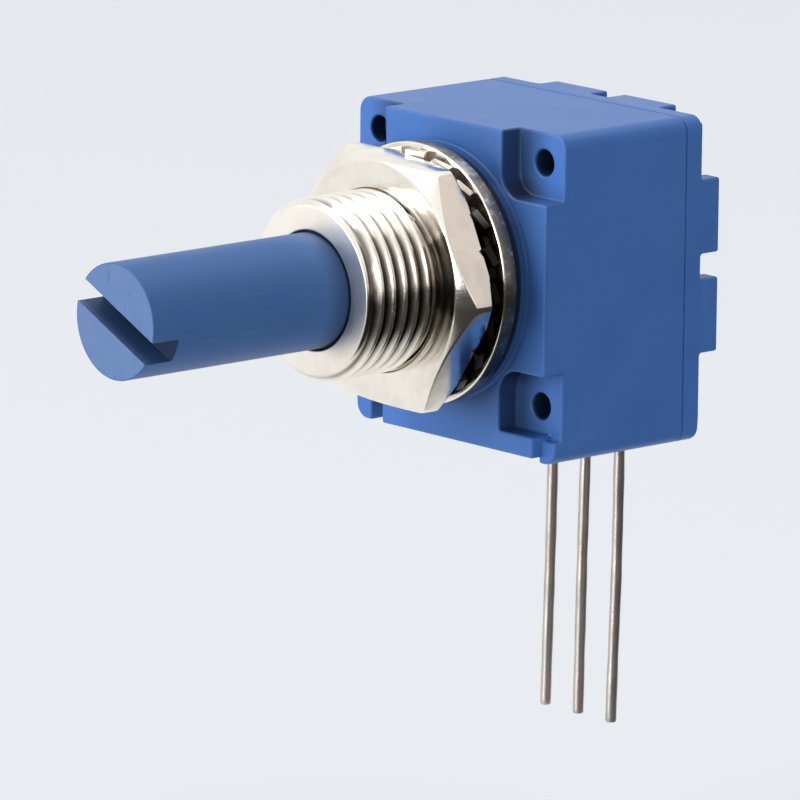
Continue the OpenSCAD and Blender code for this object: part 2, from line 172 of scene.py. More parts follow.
class Shader:
    """One material's or world's node tree."""

    def __init__(self, tree: bpy.types.NodeTree) -> None:
        """Empties the tree, ready for new nodes."""
        self.tree = tree
        self.tree.nodes.clear()

    def node(
        self,
        kind: str,
        inputs: dict[str | int, object] | None = None,
        output: str | int = 0,
        **settings: object,
    ) -> Term:
        """Adds any node.

        Args:
            kind: the node's type.
            inputs: socket name or number to a term, a number, a vector or a colour.
            output: the output that the returned term stands for.
            settings: the node's own settings.

        Returns:
            The chosen output as a term.
        """
        made = self.tree.nodes.new(kind)
        for name, value in settings.items():
            setattr(made, name, value)
        for key, value in (inputs or {}).items():
            if isinstance(value, Term):
                self.tree.links.new(value.socket, made.inputs[key])
            else:
                opaque = made.inputs[key].type == "RGBA"
                made.inputs[key].default_value = (*value, 1.0) if opaque else value
        return Term(self, made.outputs[output] if made.outputs else None)

    def place(self, scale: Sequence[float] = (1, 1, 1), turn: Sequence[float] = (0, 0, 0)) -> Term:
        """Object coordinates, turned by turn in degrees and scaled along each axis."""
        coordinates = self.node("ShaderNodeTexCoord", output="Object")
        angles = tuple(math.radians(a) for a in turn)
        return self.node(
            "ShaderNodeMapping",
            {"Vector": coordinates, "Scale": tuple(scale), "Rotation": angles},
            vector_type="POINT",
        )

    def parts(self, kind: str) -> list[Term]:
        """The three parts of one kind of coordinates, "Object" or "Generated"."""
        coordinates = self.node("ShaderNodeTexCoord", output=kind)
        apart = self.node("ShaderNodeSeparateXYZ", {"Vector": coordinates})
        return [Term(self, socket) for socket in apart.socket.node.outputs]

    def axes(self) -> list[Term]:
        """Object coordinates x, y and z, in millimetres."""
        return [part * (1 / MM) for part in self.parts("Object")]

    def noise(self, where: Term, size_mm: float, detail: float = 2.0, rough: float = 0.5) -> Term:
        """Cloudy noise about 0.5 whose blobs are about size_mm across."""
        return self.node(
            "ShaderNodeTexNoise",
            {"Vector": where, "Scale": 1 / (size_mm * MM), "Detail": detail, "Roughness": rough},
            "Fac",
            noise_dimensions="3D",
        )

    def blend(self, factor: Operand, first: object, second: object) -> Term:
        """The colour first where factor is 0, and second where it is 1."""
        return self.node(
            "ShaderNodeMix",
            {0: factor, 6: first, 7: second},
            2,
            data_type="RGBA",
            clamp_factor=True,
        )

    def mix(self, factor: Operand, first: Term, second: Term) -> Term:
        """The shader first where factor is 0, and second where it is 1."""
        return self.node("ShaderNodeMixShader", {0: factor, 1: first, 2: second})

    def ray(self, kind: str) -> Term:
        """1 on rays of one kind, "Camera" or "Glossy"."""
        return self.node("ShaderNodeLightPath", output=f"Is {kind} Ray")

    def bump(self, height: Term, depth_mm: float) -> Term:
        """A normal from a height in 0 to 1 that stands depth_mm proud."""
        return self.node(
            "ShaderNodeBump", {"Height": height, "Distance": depth_mm * MM, "Strength": 1.0}
        )

    def surface(self, **inputs: object) -> None:
        """Ends the tree in a Principled shader. Spaces in its inputs' names are underscores."""
        named = {key.replace("_", " "): value for key, value in inputs.items()}
        shader = self.node("ShaderNodeBsdfPrincipled", named)
        self.node("ShaderNodeOutputMaterial", {"Surface": shader})


def length(first: Term, second: Term) -> Term:
    """The length of a vector with those two parts."""
    return (first * first + second * second) ** 0.5


def new_shader(name: str) -> tuple[bpy.types.Material, Shader]:
    """A new material and its empty tree."""
    material = bpy.data.materials.new(name)
    material.use_nodes = True
    return material, Shader(material.node_tree)


@dataclass(frozen=True)
class MouldedPlastic:
    """Satin moulded plastic with a fine grain, faint clouding and light handling marks.

    Two masks: where the first is 1 the colour is a dark one painted in place of shade, a
    painted shade, and where the second, worn, is 1 it is worn_colour.
    """

    name: str
    colour: Colour
    pale: Colour
    roughness: float = 0.42
    specular: float = 0.4
    grain_mm: float = 0.16
    grain_depth_mm: float = 0.004
    marks: float = 0.0
    # A mask of painted shade, and the dark colour painted where shade falls.
    painted_shade: Callable[[Shader], Term] | None = None
    painted_shade_colour: Colour = (0.006, 0.010, 0.022)
    worn: Callable[[Shader], Term] | None = None
    worn_colour: Colour = (0.10, 0.165, 0.325)

    def build(self) -> bpy.types.Material:
        """The material: colour clouds, grain bump, scratches, worn parts and painted shade."""
        material, s = new_shader(self.name)
        where = s.place()
        clouds = s.noise(where, 3.5, 3.0)
        speckle = s.noise(where, 0.22, 2.0)
        grain = s.noise(where, self.grain_mm, 3.0, 0.6)
        tint = (clouds.ramp(0.3, 0.72) * 0.35 + speckle.ramp(0.35, 0.7) * 0.18).clipped()
        colour = s.blend(tint, self.colour, self.pale)
        height = grain * 0.8 + speckle * 0.4
        if self.marks > 0:
            streaks = s.noise(s.place((1.0, 0.15, 6.0), (0, 38, 0)), 0.9, 4.0, 0.62).ramp(0.6, 0.68)
            patches = s.noise(where, 1.6, 2.0).ramp(0.48, 0.62)
            scratch = streaks * patches * self.marks
            pale = tuple(0.45 * a + 0.38 for a in self.pale)
            colour = s.blend(scratch, colour, pale)
            height = height - scratch * 0.9
        if self.worn is not None:
            colour = s.blend(self.worn(s), colour, self.worn_colour)
        # Painted shade: a dark colour laid where shade falls, in holes, slots and recesses.
        if self.painted_shade is not None:
            colour = s.blend(self.painted_shade(s), colour, self.painted_shade_colour)
        rough = clouds * 0.12 + speckle * 0.08 + (self.roughness - 0.1)
        s.surface(
            Base_Color=colour,
            Roughness=rough,
            Normal=s.bump(height, self.grain_depth_mm),
            IOR=1.5,
            Specular_IOR_Level=self.specular,
        )
        return material


def housing_painted_shade(s: Shader) -> Term:
    """Painted shade, 1 far inside the corner holes and softer at the flange and the recess walls.

    A point is in a hole when the distance of (|x|, |z|) from the hole's axis is under its
    radius, and the mask climbs with the depth behind the stepped corner. The ring of painted
    shadow at the flange fades with the radius about the shaft axis, slower on the right, and a
    narrow dark line of painted shadow follows the flange's back. The painted shade in each
    stepped corner is darkest on its two inner walls and fades over the floor beside them.
    """
    x, y, z = s.axes()
    wide, high = x.size(), z.size()
    hole = 1 - length(wide - HOLE_AXIS_MM, high - HOLE_AXIS_MM).ramp(0.68, 0.74)
    hole = hole * y.ramp(2.95, 3.35)
    radius = length(x, z)
    wide_ring = (1 - radius.ramp(7.3, 9.6)) * x.ramp(-2.0, 4.0) * 0.5
    line = (1 - radius.ramp(7.2, 7.5)) * (1 - y.ramp(1.18, 1.40)) * 0.8
    ring = (wide_ring + line) * (1 - y.ramp(1.85, 2.0))
    corner = wide.ramp(4.30, 4.48) * high.ramp(4.30, 4.48)
    corner = corner * y.ramp(1.84, 2.0) * (1 - y.ramp(3.1, 3.2))
    beside = (1 - wide.ramp(5.1, 7.0)) * 0.7 + (1 - high.ramp(4.6, 5.5)) * 0.3
    return (hole + ring + corner * beside).clipped()


def shaft_painted_shade(s: Shader) -> Term:
    """Painted shade on the shaft: in its screwdriver slot, and on its surface towards the bushing.

    The slot's share climbs to 0.85 at its floor, and the other to 0.6 at the journal. The
    distance from the slot's middle plane is |z cos a - x sin a|, with a the slot's angle.
    """
    x, y, z = s.axes()
    turn, half = math.radians(Shaft.slot_deg), Shaft.slot_half
    floor = Shaft.end + Shaft.slot_depth
    across = (z * math.cos(turn) - x * math.sin(turn)).size()
    inside = 1 - across.ramp(half - 0.005, half + 0.015)
    inside = inside * (1 - y.ramp(floor + 0.02, floor + 0.06))
    inside = inside * y.ramp(Shaft.end - 0.4, Shaft.end + 0.8)
    return (inside * 0.85 + y.ramp(Shaft.journal - 1.45, Shaft.journal) * 0.6).clipped()


def cut_end(s: Shader) -> Term:
    """Up to 1 on the shaft's end face, where the cut left the plastic paler, with scuffs."""
    x, y, z = s.axes()
    scuffs = s.noise(s.place((1.0, 1.0, 0.3), (0, 25, 0)), 0.7, 4.0, 0.7).ramp(0.60, 0.66) * 0.8
    mottle = s.noise(s.place(), 0.6, 3.0, 0.6).ramp(0.3, 0.7) * 0.25
    face = 1 - length(x, z).ramp(Shaft.radius - 0.1, Shaft.radius - 0.02)
    face = face * (1 - y.ramp(Shaft.end + 0.32, Shaft.end + 0.36))
    return face * (1 - scuffs - mottle).clipped()


@dataclass(frozen=True)
class PlatedMetal:
    """Bright plated metal with fine tool lines, soft stains and small pits.

    Two masks: where the first is 1 the colour turns dark, for painted shade and painted dark
    reflections, and where the second, frost, is 1 the roughness is higher by frost_depth.
    """

    name: str
    colour: Colour
    stain: Colour
    roughness: float = 0.2
    line_scale: tuple[float, float, float] = (1.0, 1.0, 1.0)
    line_depth_mm: float = 0.003
    stain_share: float = 0.35
    # A mask of painted shade and painted dark reflections, and the dark colour painted there.
    painted_darkening: Callable[[Shader], Term] | None = None
    painted_darkening_colour: Colour = (0.05, 0.042, 0.035)
    frost: Callable[[Shader], Term] | None = None
    frost_depth: float = 0.2

    def build(self) -> bpy.types.Material:
        """The material: stains, painted shade and reflections, frost, and a normal from its lines
        and pits.
        """
        material, s = new_shader(self.name)
        where = s.place()
        stains = s.noise(where, 2.2, 4.0, 0.6).ramp(0.42, 0.75)
        fine = s.noise(where, 0.12, 2.0)
        lines = s.noise(s.place(self.line_scale), 0.5, 3.0, 0.6)
        colour = s.blend(stains * self.stain_share, self.colour, self.stain)
        # Painted shade and painted dark reflections, laid into the colour.
        if self.painted_darkening is not None:
            colour = s.blend(self.painted_darkening(s), colour, self.painted_darkening_colour)
        rough = stains * 0.14 + fine * 0.08 + lines * 0.08 + (self.roughness - 0.08)
        if self.frost is not None:
            rough = rough + self.frost(s) * self.frost_depth
        s.surface(
            Base_Color=colour,
            Metallic=1.0,
            Roughness=rough,
            Normal=s.bump(lines * 0.6 + fine * 0.4, self.line_depth_mm),
        )
        return material


def flange_rim(radius: Term, y: Term) -> Term:
    """1 on the rim of the bushing's flange."""
    return radius.ramp(Bushing.flange_r - 0.06, Bushing.flange_r - 0.02) * y.ramp(0.05, 0.1)


def bushing_painted_darkening(s: Shader) -> Term:
    """Painted shade in the thread's roots; a mottled dark painted reflection on the flange's rim.

    The first climbs from 0 at the crest to its most at the root, between the front bevel and
    the nut, and is heavier on the lower side. The second covers the rim's middle, broken up
    by two sizes of noise.
    """
    x, y, z = s.axes()
    radius = length(x, z)
    start, end = Bushing.front + Bushing.bevel, Bushing.thread_end
    threaded = y.ramp(start - 0.05, start + 0.05) * (1 - y.ramp(end - 0.02, end + 0.08))
    threaded = threaded * radius.ramp(4.0, 4.1)
    root = (1 - radius.ramp(4.46, 4.66)) * threaded * (0.97 - z.ramp(-1.5, 4.0) * 0.3)
    where = s.place()
    fine = s.noise(where, 0.5, 4.0, 0.7).ramp(0.30, 0.45)
    coarse = s.noise(where, 1.8, 2.0).ramp(0.3, 0.5)
    rim = flange_rim(radius, y) * (fine * 0.55 + coarse * 0.4) * 0.85
    return (root + rim).clipped()


def turned_face(s: Shader) -> Term:
    """1 on the bushing's front face and its flange's rim, which are duller than the rest."""
    x, y, z = s.axes()
    face = 1 - y.ramp(Bushing.front + 0.01, Bushing.front + 0.05)
    return face + flange_rim(length(x, z), y)


def washer_painted_shade(s: Shader) -> Term:
    """Painted shade: 1 over the lock washer in the gap behind the nut, 0 on its upper side."""
    _, _, z = s.axes()
    return 1 - z.ramp(3.4, 5.4)


def nut_painted_reflection(s: Shader) -> Term:
    """A painted dark reflection on the right of the nut's front ring, with a fainter border.

    Both parts go by the slope z / x of a point, measured from the patch's middle.
    """
    x, y, z = s.axes()
    ragged = s.noise(s.place(), 0.45, 4.0, 0.65) * 0.16
    slope = (z / x - 0.22).size() + ragged
    patch = (1 - slope.ramp(0.42, 0.50)) * 0.66 + (1 - slope.ramp(0.75, 1.5)) * 0.22
    return patch * x.ramp(0.5, 1.0) * (1 - y.ramp(PanelNut.front + 0.02, PanelNut.front + 0.06))


@dataclass(frozen=True)
class PlainCoat:
    """A dull inner surface: ceramic, printed film, rubber or natural plastic."""

    name: str
    colour: Colour
    dark: Colour
    roughness: float
    metallic: float = 0.0
    grain_mm: float = 0.2
    grain_depth_mm: float = 0.006

    def build(self) -> bpy.types.Material:
        """The material: a fine grain in colour, roughness and height."""
        material, s = new_shader(self.name)
        where = s.place()
        clouds = s.noise(where, 1.8, 3.0)
        grain = s.noise(where, self.grain_mm, 3.0, 0.6)
        tint = (clouds.ramp(0.3, 0.7) * 0.5 + grain.ramp(0.4, 0.7) * 0.3).clipped()
        s.surface(
            Base_Color=s.blend(tint, self.colour, self.dark),
            Metallic=self.metallic,
            Roughness=grain * 0.15 + (self.roughness - 0.07),
            Normal=s.bump(grain, self.grain_depth_mm),
        )
        return material


Finish = Union[MouldedPlastic, PlatedMetal, PlainCoat]


class Finishes:
    """Every finish of the part, built once."""

    nickel: Colour = (0.90, 0.87, 0.82)
    stain: Colour = (0.52, 0.45, 0.37)

    def __init__(self) -> None:
        """Builds one material for each of the record's slots, and the bushing's and nut's own."""
        self._materials = {slot: finish.build() for slot, finish in self._all().items()}
        self.bushing = PlatedMetal(
            "nickel_plate_threaded",
            self.nickel,
            self.stain,
            roughness=0.14,
            # Painted shade in the thread's roots and a painted dark reflection on the flange's rim.
            painted_darkening=bushing_painted_darkening,
            frost=turned_face,
        ).build()
        self.nut = PlatedMetal(
            "nickel_plate_painted_reflection",
            self.nickel,
            self.stain,
            roughness=0.12,
            # A painted dark reflection on the right of the nut's front ring.
            painted_darkening=nut_painted_reflection,
        ).build()

    def _all(self) -> dict[Slot, Finish]:
        """The finish of each slot."""
        return {
            Slot.HOUSING_PLASTIC: MouldedPlastic(
                "blue_housing_plastic",
                (0.042, 0.136, 0.41),
                (0.058, 0.166, 0.46),
                specular=0.28,
                # Painted shade in the corner holes, around the flange and in the stepped corners.
                painted_shade=housing_painted_shade,
            ),
            Slot.SHAFT_PLASTIC: MouldedPlastic(
                "blue_shaft_plastic",
                (0.044, 0.120, 0.32),
                (0.056, 0.145, 0.36),
                roughness=0.48,
                specular=0.22,
                grain_depth_mm=0.003,
                marks=0.08,
                # Painted shade in the slot and where the shaft enters the bushing.
                painted_shade=shaft_painted_shade,
                worn=cut_end,
            ),
            Slot.NICKEL: PlatedMetal("nickel_plate", self.nickel, self.stain, roughness=0.14),
            Slot.SPRING_STEEL: PlatedMetal(
                "plated_spring_steel",
                (0.62, 0.55, 0.48),
                (0.36, 0.28, 0.22),
                roughness=0.38,
                # Painted shade, dark low on the part, as on the lock washer in the gap behind the
                # nut.
                painted_darkening=washer_painted_shade,
                painted_darkening_colour=(0.03, 0.025, 0.02),
            ),
            Slot.CERAMIC: PlainCoat("fired_ceramic", (0.80, 0.77, 0.70), (0.70, 0.67, 0.60), 0.6),
            Slot.RESISTOR_FILM: PlainCoat(
                "resistor_film", (0.022, 0.022, 0.025), (0.05, 0.05, 0.055), 0.55
            ),
            Slot.CONDUCTOR_FILM: PlainCoat(
                "silver_film", (0.66, 0.65, 0.61), (0.50, 0.48, 0.43), 0.4, metallic=0.9
            ),
            Slot.TINNED_WIRE: PlatedMetal(
                "tinned_wire",
                (0.54, 0.50, 0.475),
                (0.27, 0.23, 0.215),
                roughness=0.36,
                line_scale=(4.0, 4.0, 0.12),
                line_depth_mm=0.01,
                stain_share=0.6,
            ),
            Slot.SOLDER: PlainCoat("solder", (0.62, 0.62, 0.62), (0.45, 0.45, 0.44), 0.3, 1.0),
            Slot.SEAL_RUBBER: PlainCoat(
                "seal_rubber", (0.018, 0.018, 0.018), (0.03, 0.03, 0.03), 0.6
            ),
            Slot.WASHER_PLASTIC: PlainCoat(
                "natural_nylon", (0.78, 0.75, 0.66), (0.70, 0.66, 0.56), 0.5
            ),
            Slot.ROTOR_PLASTIC: PlainCoat(
                "black_plastic", (0.025, 0.025, 0.027), (0.04, 0.04, 0.04), 0.5
            ),
            Slot.CONTACT_METAL: PlatedMetal(
                "contact_spring", (0.80, 0.58, 0.27), (0.55, 0.38, 0.18), roughness=0.22
            ),
        }

    def __getitem__(self, slot: Slot) -> bpy.types.Material:
        """The material of one slot."""
        return self._materials[slot]


@contextmanager
def editing(mesh: bpy.types.Mesh) -> Iterator[bmesh.types.BMesh]:
    """Opens a mesh with its doubled points joined, and writes it back at the end."""
    work = bmesh.new()
    work.from_mesh(mesh)
    bmesh.ops.remove_doubles(work, verts=work.verts, dist=MERGE_MM * MM)
    yield work
    work.to_mesh(mesh)
    work.free()


def smooth(mesh: bpy.types.Mesh) -> None:
    """Shades the mesh smooth, with sharp edges past SHARP_DEG."""
    mesh.shade_smooth()
    mesh.set_sharp_from_angle(angle=math.radians(SHARP_DEG))


class Skin:
    """A surface gathered from grids of points, in millimetres."""

    def __init__(self) -> None:
        """Starts with no points."""
        self._points: list[np.ndarray] = []
        self._quads: list[np.ndarray] = []
        self._count = 0

    def grid(self, points: np.ndarray, wrap: bool = False) -> None:
        """Adds one grid of quads.

        Args:
            points: array of shape (rows, columns, 3).
            wrap: joins the last column to the first.
        """
        rows, columns = points.shape[:2]
        index = np.arange(rows * columns).reshape(rows, columns) + self._count
        if wrap:
            index = np.hstack([index, index[:, :1]])
        quads = np.stack([index[:-1, :-1], index[1:, :-1], index[1:, 1:], index[:-1, 1:]], -1)
        self._points.append(points.reshape(-1, 3))
        self._quads.append(quads.reshape(-1, 4))
        self._count += rows * columns

    def mesh(self, name: str) -> bpy.types.Mesh:
        """Writes the mesh in metres, joined where its grids meet, with its faces outwards."""
        mesh = bpy.data.meshes.new(name)
        points = np.concatenate(self._points) * MM
        mesh.from_pydata(points.tolist(), [], np.concatenate(self._quads).tolist())
        with editing(mesh) as work:
            bmesh.ops.dissolve_degenerate(work, edges=work.edges, dist=MERGE_MM * MM)
            bmesh.ops.recalc_face_normals(work, faces=work.faces)
        smooth(mesh)
        return mesh


def profile(stations: Sequence[Station], angles: np.ndarray) -> np.ndarray:
    """The rows of a turned surface.

    Args:
        stations: radius and y of each row, as numbers or as one value for each angle.
        angles: one angle in radians for each column.

    Returns:
        Radius and y, of shape (rows, columns, 2).
    """
    ones = np.ones_like(angles)
    return np.stack([np.stack([radius * ones, y * ones], -1) for radius, y in stations])


def flatted(radius: float, flat: float, angles: np.ndarray) -> np.ndarray:
    """Radius of a circle with two flats, which stand at flat from the axis along X."""
    return np.minimum(radius, flat / np.maximum(np.abs(np.cos(angles)), 1e-3))


def turned(rows: np.ndarray, angles: np.ndarray) -> np.ndarray:
    """Turns rows about the shaft axis.

    The point at angle a is (r cos a, y, r sin a).

    Args:
        rows: radius and y, of shape (rows, columns, 2).
        angles: one angle in radians for each column.

    Returns:
        Points of shape (rows, columns, 3).
    """
    radius, along = rows[..., 0], rows[..., 1]
    return np.stack([radius * np.cos(angles), along, radius * np.sin(angles)], -1)


def softened(rows: np.ndarray, reach_mm: float, steps: int = 4) -> np.ndarray:
    """Rounds every inner corner of a profile.

    Each corner C becomes the curve (1-t)^2 A + 2t(1-t) C + t^2 B, where A and B lie on the two
    sides, reach_mm from the corner or 0.45 of the side if that is less.

    Args:
        rows: its corners, of shape (rows, columns, 2).
        reach_mm: how far along each side the rounding starts.
        steps: pieces of each curve.

    Returns:
        The rounded profile, of shape (more rows, columns, 2).
    """
    before, corner, after = rows[:-2], rows[1:-1], rows[2:]

    def toward(target: np.ndarray) -> np.ndarray:
        """The point on the side to target where the rounding starts."""
        side = target - corner
        length = np.maximum(np.linalg.norm(side, axis=-1, keepdims=True), 1e-9)
        return corner + side * np.minimum(reach_mm / length, 0.45)

    start, end = toward(before), toward(after)
    t = np.linspace(0, 1, steps + 1)[None, :, None, None]
    curve = (1 - t) ** 2 * start[:, None] + 2 * t * (1 - t) * corner[:, None] + t**2 * end[:, None]
    return np.concatenate([rows[:1], curve.reshape(-1, *rows.shape[1:]), rows[-1:]])


def add_object(name: str, data: bpy.types.ID) -> bpy.types.Object:
    """Adds an object at the origin to the scene."""
    made = bpy.data.objects.new(name, data)
    bpy.context.scene.collection.objects.link(made)
    return made


def add_piece(
    name: str,
    mesh: bpy.types.Mesh,
    body: Body,
    slot: Slot,
    finishes: Finishes,
    nodes: Sequence[str],
    material: bpy.types.Material | None = None,
) -> bpy.types.Object:
    """Puts a finished mesh into the scene in place of CAD nodes.

    Args:
        name: the piece's name.
        mesh: its mesh, in the frame.
        body: the body it rides on.
        slot: its material slot.
        finishes: the materials.
        nodes: the CAD nodes it stands for.
        material: its own finish, where it differs from the slot's.

    Returns:
        The new object.
    """
    piece = add_object(name, mesh)
    mesh.materials.clear()
    mesh.materials.append(material or finishes[slot])
    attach(piece, body.value)
    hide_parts(*nodes)
    LOG.info("piece %s: %d faces", name, len(mesh.polygons))
    return piece


def round_edges(piece: bpy.types.Object, width_mm: float, over_deg: float) -> None:
    """Rounds the piece's edges that turn by more than an angle, with a Bevel modifier."""
    bevel = piece.modifiers.new("rounded_edges", "BEVEL")
    bevel.width = width_mm * MM
    bevel.segments = 3
    bevel.limit_method = "ANGLE"
    bevel.angle_limit = math.radians(over_deg)
    bevel.use_clamp_overlap = False
    bevel.harden_normals = True
    bevel.miter_outer = "MITER_ARC"


@dataclass
class Housing:
    """The moulded front housing and rear cover, with rounded moulding edges."""

    nodes: dict[str, bpy.types.Object]
    finishes: Finishes
    edge_mm: float = 0.14
    edge_over_deg: float = 40.0
    flat_deg: float = 0.4

    def _moulding(self, node: str) -> None:
        """Copies a CAD node, joins its triangles into flat faces and rounds its edges."""
        mesh = self.nodes[node].data.copy()
        mesh.name = f"{node}_moulding"
        with editing(mesh) as work:
            bmesh.ops.dissolve_limit(
                work, angle_limit=math.radians(self.flat_deg), verts=work.verts, edges=work.edges
            )
        smooth(mesh)
        piece = add_piece(
            f"{node}_moulded", mesh, Body.HOUSING, Slot.HOUSING_PLASTIC, self.finishes, [node]
        )
        round_edges(piece, self.edge_mm, self.edge_over_deg)

    def build(self) -> None:
        """Makes both mouldings."""
        self._moulding("front_housing")
        self._moulding("rear_cover")


@dataclass
class Bushing:
    """The nickel-plated bushing with its helical thread, countersunk mouth and flange."""

    finishes: Finishes
    crest_r: float = 4.7625
    pitch: float = 0.79375
    thread_depth: float = 0.47
    root_flat: float = 0.10
    thread_edge: float = 0.025
    lead_in: float = 0.06
    front: float = -7.2
    bevel: float = 0.40
    thread_end: float = -2.88
    seat_r: float = 4.505
    bore_r: float = 2.85
    mouth_r: float = 3.15
    flange_r: float = 6.86
    flange_t: float = 0.85
    tail_r: float = 4.6
    tail_end: float = 4.40
    anchor_r: float = 5.4
    anchor_flat: float = 4.95
    anchor: tuple[float, float] = (2.65, 3.55)
    front_edge: float = 0.05
    rear_edge: float = 0.09
    columns: int = 192

    def _thread(self, angles: np.ndarray) -> np.ndarray:
        """The threaded surface, on rows that follow the helix.

        One groove is a profile of radius against the share of a pitch: a flat root, flanks of
        30 degrees and a flat crest, with rounded corners. It is repeated along y, and each
        column is moved by its angle over a full turn, times the pitch. What lies past either
        end is pressed to that end, and the radius stays below the front bevel.

        Args:
            angles: angle of each column, from 0 to a full turn.

        Returns:
            Radius and y, of shape (rows, columns, 2).
        """
        root, flat = self.crest_r - self.thread_depth, 0.5 * self.root_flat
        flank = self.thread_depth / math.sqrt(3.0)
        groove = np.array(
            [
                [root, -flat],
                [root, flat],
                [self.crest_r, flat + flank],
                [self.crest_r, self.pitch - flat - flank],
                [root, self.pitch - flat],
            ]
        )
        count = int((self.thread_end - self.front) / self.pitch) + 3
        shifts = np.arange(count)[:, None, None] * np.array([0.0, self.pitch])
        line = (groove[None, :-1] + shifts).reshape(-1, 1, 2)
        rows = softened(line, self.thread_edge, 5)
        start = self.front - 1.5 * self.pitch
        climb = self.pitch * angles[None, :] / TAU
        inside = np.clip(start + rows[..., 1] + climb, self.front + self.lead_in, self.thread_end)
        radius = np.interp(inside - start - climb, rows[:, 0, 1], rows[:, 0, 0])
        radius = np.minimum(radius, self.crest_r - self.bevel + (inside - self.front))
        return np.stack([radius, inside], -1)

    def build(self) -> None:
        """Makes the bushing as one turned surface, closed from bore to bore."""
        angles = np.linspace(0, TAU, self.columns + 1)
        rim = self.crest_r - self.bevel
        front = [
            (self.bore_r, self.tail_end),
            (self.bore_r, self.front + self.mouth_r - self.bore_r),
            (self.mouth_r, self.front),
            (rim, self.front),
            (rim + 0.04, self.front + 0.04),
        ]
        anchor = flatted(self.anchor_r, self.anchor_flat, angles)
        rear = [
            (self.seat_r, self.thread_end + 0.03),
            (self.seat_r, 0.0),
            (self.flange_r, 0.0),
            (self.flange_r, self.flange_t),
            (self.tail_r, self.flange_t),
            (self.tail_r, self.anchor[0]),
            (anchor, self.anchor[0]),
            (anchor, self.anchor[1]),
            (self.tail_r, self.anchor[1]),
            (self.tail_r, self.tail_end),
            (self.bore_r, self.tail_end),
        ]
        rows = [
            softened(profile(front, angles), self.front_edge)[:-1],
            self._thread(angles),
            softened(profile(rear, angles), self.rear_edge),
        ]
        skin = Skin()
        skin.grid(turned(np.concatenate(rows), angles))
        add_piece(
            "bushing_threaded",
            skin.mesh("bushing_threaded"),
            Body.HOUSING,
            Slot.NICKEL,
            self.finishes,
            ["bushing"],
            self.finishes.bushing,
        )


@dataclass
class PanelNut:
    """The plated hexagonal nut, bevelled on both faces, with rounded rims."""

    finishes: Finishes
    apothem: float = 6.35
    front: float = -2.84
    rear: float = -0.84
    turn_deg: float = -4.0
    bore_r: float = 4.545
    mouth: float = 0.25
    face_r: float = 6.2
    bevel_deg: float = 30.0
    rear_bevel: float = 0.6  # of the front bevel's width
    edge: float = 0.08
    corner_power: int = 90
    columns: int = 360

    def _hexagon(self, angles: np.ndarray) -> np.ndarray:
        """Radius of the hexagon at each angle.

        It is the apothem over the largest cosine of the angle to a flat's middle, taken as a
        power mean of the three cosines, which rounds the corners a little.
        """
        middles = math.radians(self.turn_deg + 30) + np.arange(3) * math.pi / 3
        cosines = np.abs(np.cos(angles[:, None] - middles[None, :]))
        return self.apothem / (cosines**self.corner_power).sum(1) ** (1 / self.corner_power)

    def build(self) -> None:
        """Makes the nut: at each angle, a profile from the bore over both faces and back."""
        angles = np.linspace(0, TAU, self.columns, endpoint=False)
        side = self._hexagon(angles)
        slope = math.tan(math.radians(self.bevel_deg))
        corner = self.apothem / math.cos(math.pi / 6)
        rear_face = np.minimum(side, corner - self.rear_bevel * (corner - self.face_r))
        stations = [
            (self.bore_r, (self.front + self.rear) / 2),
            (self.bore_r, self.front + self.mouth),
            (self.bore_r + self.mouth, self.front),
            (self.face_r, self.front),
            (side, self.front + (side - self.face_r) * slope),
            (side, self.rear - (side - rear_face) * slope),
            (rear_face, self.rear),
            (self.bore_r + self.mouth, self.rear),
            (self.bore_r, self.rear - self.mouth),
            (self.bore_r, (self.front + self.rear) / 2),
        ]
        skin = Skin()
        skin.grid(turned(softened(profile(stations, angles), self.edge), angles), wrap=True)
        add_piece(
            "panel_nut_plated",
            skin.mesh("panel_nut_plated"),
            Body.HOUSING,
            Slot.NICKEL,
            self.finishes,
            ["panel_nut"],
            self.finishes.nut,
        )


